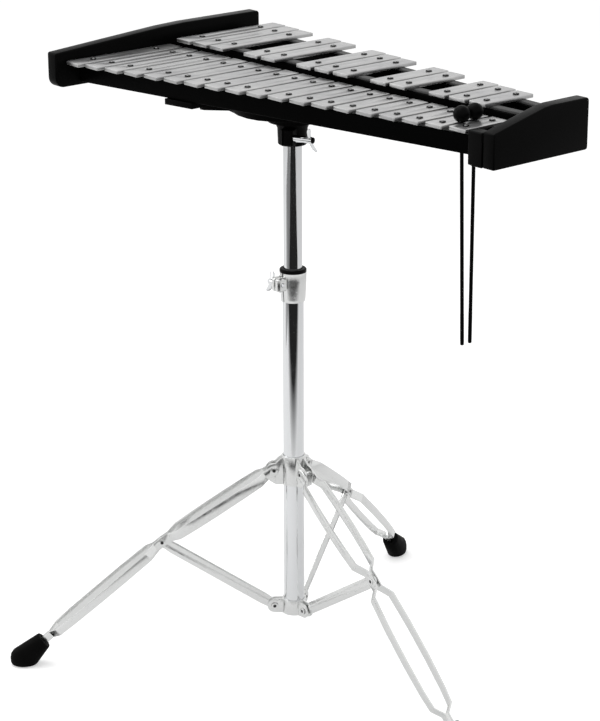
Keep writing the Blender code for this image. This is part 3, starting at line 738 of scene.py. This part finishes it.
mallet_black = worn_material(
    "mallet_black", (0.0012, 0.0012, 0.0012), 0.0, 0.3, 0.5, smudge=90.0, grain=1400.0, bump=0.06, gloss=0.04
)
for number, lean in enumerate(LEANS, 1):
    low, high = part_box(f"mallet_{number}")
    sleeve_top = SLEEVE_LENGTH - MALLET_LENGTH
    profile = [
        (0.0, -MALLET_LENGTH),
        (SLEEVE_RADIUS * 0.6, -MALLET_LENGTH),
        (SLEEVE_RADIUS * 0.93, -MALLET_LENGTH + 0.0006),
        (SLEEVE_RADIUS, -MALLET_LENGTH + 0.0020),
        (SLEEVE_RADIUS, sleeve_top),
        (SLEEVE_RADIUS * 0.93, sleeve_top + 0.0005),
        (SHAFT_RADIUS, sleeve_top + 0.0008),
    ]
    begin = -math.acos((SHAFT_RADIUS + 0.0004) / HEAD_BALL)
    steps = 24
    profile.append((SHAFT_RADIUS, HEAD_BALL * math.sin(begin) - 0.0003))
    for k in range(steps):
        turn = begin + (math.pi / 2 - begin) * k / steps
        profile.append((HEAD_BALL * math.cos(turn), HEAD_BALL * math.sin(turn)))
    profile.append((0.0, HEAD_BALL))
    centre = Vector(((low.x + high.x) / 2, low.y + HEAD_BALL, high.z - HEAD_BALL))
    place = Matrix.Translation(centre) @ Matrix.Rotation(math.radians(lean), 4, "X")
    mesh = turned_mesh(f"hanging_mallet_{number}", profile, MALLET_SIDES, place)
    piece = smooth_piece(f"hanging_mallet_{number}", mesh, mallet_black)
    add_piece(piece, f"mallet_{number}", "mallet_black", f"mallet_{number}")


# Floor, light and camera
# A white studio sweep with soft light from above, and glowing cards hidden from the camera that paint a
# reflection of a floor, light near the stand and dark further off, into the chrome.
# The camera stands at the player's right, a little above the bars.

FLOOR_SIZE = 12.0
WORLD_LIGHT = 0.72
SEEN_LIFT = 0.38
MIRRORED_SHARE = 0.1
CAMERA_PLACE = Vector((column.x + 2.0487, column.y - 1.7387, 1.3193))
CAMERA_AZIMUTH = 49.509
CAMERA_HEIGHT_ANGLE = 19.121
CAMERA_ROLL = -0.157
CAMERA_LENS = 117.96


def flat_card(name, centre, width, depth, turn):
    half = (width / 2, depth / 2)
    corners = [Vector((x * half[0], y * half[1], 0.0)) for x, y in ((-1, -1), (1, -1), (1, 1), (-1, 1))]
    spin = Matrix.Translation(centre) @ Matrix.Rotation(turn, 4, "Z")
    mesh = bpy.data.meshes.new(name)
    mesh.from_pydata([tuple(spin @ corner) for corner in corners], [], [(0, 1, 2, 3)])
    card = bpy.data.objects.new(name, mesh)
    bpy.context.scene.collection.objects.link(card)
    return card


floor = flat_card("studio_floor", Vector((0.0, 0.0, -0.0005)), FLOOR_SIZE, FLOOR_SIZE, 0.0)
paper = bpy.data.materials.new("white_paper")
paper.use_nodes = True
paper_nodes = paper.node_tree.nodes
paper_links = paper.node_tree.links
paper_shader = paper_nodes["Principled BSDF"]
paper_shader.inputs["Base Color"].default_value = (0.85, 0.85, 0.85, 1.0)
paper_shader.inputs["Roughness"].default_value = 0.9
paper_shader.inputs["Specular IOR Level"].default_value = 0.0
paper_shader.inputs["Emission Color"].default_value = (1.0, 1.0, 1.0, 1.0)
rays = paper_nodes.new("ShaderNodeLightPath")
seen = paper_nodes.new("ShaderNodeMath")
seen.operation = "MULTIPLY_ADD"
seen.inputs[1].default_value = MIRRORED_SHARE
lift = paper_nodes.new("ShaderNodeMath")
lift.operation = "MULTIPLY"
lift.inputs[1].default_value = SEEN_LIFT
paper_links.new(rays.outputs["Is Glossy Ray"], seen.inputs[0])
paper_links.new(rays.outputs["Is Camera Ray"], seen.inputs[2])
paper_links.new(seen.outputs["Value"], lift.inputs[0])
paper_links.new(lift.outputs["Value"], paper_shader.inputs["Emission Strength"])
floor.data.materials.append(paper)

azimuth = math.radians(CAMERA_AZIMUTH)
height_angle = math.radians(CAMERA_HEIGHT_ANGLE)
toward = Vector((math.sin(azimuth), -math.cos(azimuth), 0.0))


def mirrored_card(name, centre, width, depth, turn, near_tone, far_tone, fade):
    """A glowing card that only mirrors show, a painted reflection. Its tone goes from near_tone to far_tone
    over the length fade.
    """
    card = flat_card(name, centre, width, depth, turn)
    card.visible_camera = False
    card.visible_diffuse = False
    card.visible_shadow = False
    paint = bpy.data.materials.new(name)
    paint.use_nodes = True
    nodes = paint.node_tree.nodes
    links = paint.node_tree.links
    place = nodes.new("ShaderNodeTexCoord")
    away = nodes.new("ShaderNodeVectorMath")
    away.operation = "DOT_PRODUCT"
    away.inputs[1].default_value = toward
    tone = nodes.new("ShaderNodeMapRange")
    near = centre.dot(toward) - depth / 2
    tone.inputs["From Min"].default_value = near
    tone.inputs["From Max"].default_value = near + fade
    tone.inputs["To Min"].default_value = near_tone
    tone.inputs["To Max"].default_value = far_tone
    glow = nodes.new("ShaderNodeEmission")
    links.new(place.outputs["Object"], away.inputs[0])
    links.new(away.outputs["Value"], tone.inputs["Value"])
    links.new(tone.outputs["Result"], glow.inputs["Strength"])
    links.new(glow.outputs["Emission"], nodes["Material Output"].inputs["Surface"])
    card.data.materials.append(paint)


# The two cards below light nothing and are never seen directly: they are painted reflections, lighter near
# the stand and darker toward the camera.
foot_of_column = Vector((column.x, column.y, 0.001))
sideways = Vector((math.cos(azimuth), math.sin(azimuth), 0.0))
centre = foot_of_column + toward * 1.90 + sideways * 0.15
mirrored_card("dark_reflection_card", centre, 2.7, 2.5, azimuth, 0.85, 0.02, 0.36)
centre = foot_of_column + toward * 1.1 - sideways * 1.75
mirrored_card("grey_reflection_card", centre, 1.1, 2.2, azimuth, 0.6, 0.25, 0.8)

world = bpy.data.worlds.new("studio")
bpy.context.scene.world = world
world.use_nodes = True
world_nodes = world.node_tree.nodes
world_links = world.node_tree.links
sky = world_nodes["Background"]
sky.inputs["Color"].default_value = (1.0, 1.0, 1.0, 1.0)
sky_rays = world_nodes.new("ShaderNodeLightPath")
sky_seen = world_nodes.new("ShaderNodeMath")
sky_seen.operation = "MAXIMUM"
sky_through = world_nodes.new("ShaderNodeMath")
sky_through.operation = "MAXIMUM"
strength = world_nodes.new("ShaderNodeMapRange")
strength.inputs["To Min"].default_value = WORLD_LIGHT
strength.inputs["To Max"].default_value = 1.0
world_links.new(sky_rays.outputs["Is Camera Ray"], sky_seen.inputs[0])
world_links.new(sky_rays.outputs["Is Glossy Ray"], sky_seen.inputs[1])
world_links.new(sky_seen.outputs["Value"], sky_through.inputs[0])
world_links.new(sky_rays.outputs["Is Transmission Ray"], sky_through.inputs[1])
world_links.new(sky_through.outputs["Value"], strength.inputs["Value"])
world_links.new(strength.outputs["Result"], sky.inputs["Strength"])

for name, place, size, power in (
    ("overhead_light", Vector((-0.6, -0.4, 2.6)), 1.8, 26.0),
    ("side_light", Vector((-1.8, -1.6, 1.6)), 1.2, 10.0),
):
    lamp = bpy.data.lights.new(name, "AREA")
    lamp.size = size
    lamp.energy = power
    holder = bpy.data.objects.new(name, lamp)
    bpy.context.scene.collection.objects.link(holder)
    holder.location = place
    aim = Vector((0.0, 0.0, 0.5)) - place
    holder.rotation_euler = aim.to_track_quat("-Z", "Y").to_euler()

back = Vector((toward.x * math.cos(height_angle), toward.y * math.cos(height_angle), math.sin(height_angle)))
right = Vector((0.0, 0.0, 1.0)).cross(back).normalized()
up = back.cross(right)
roll = math.radians(CAMERA_ROLL)
tilted_right = right * math.cos(roll) + up * math.sin(roll)
tilted_up = up * math.cos(roll) - right * math.sin(roll)
lens = bpy.data.cameras.new("studio_camera")
lens.lens = CAMERA_LENS
lens.clip_end = 50.0
camera = bpy.data.objects.new("studio_camera", lens)
bpy.context.scene.collection.objects.link(camera)
turn = Matrix((tilted_right, tilted_up, back)).transposed().to_4x4()
camera.matrix_world = Matrix.Translation(CAMERA_PLACE) @ turn
bpy.context.scene.camera = camera
bpy.context.scene.view_settings.view_transform = "Standard"
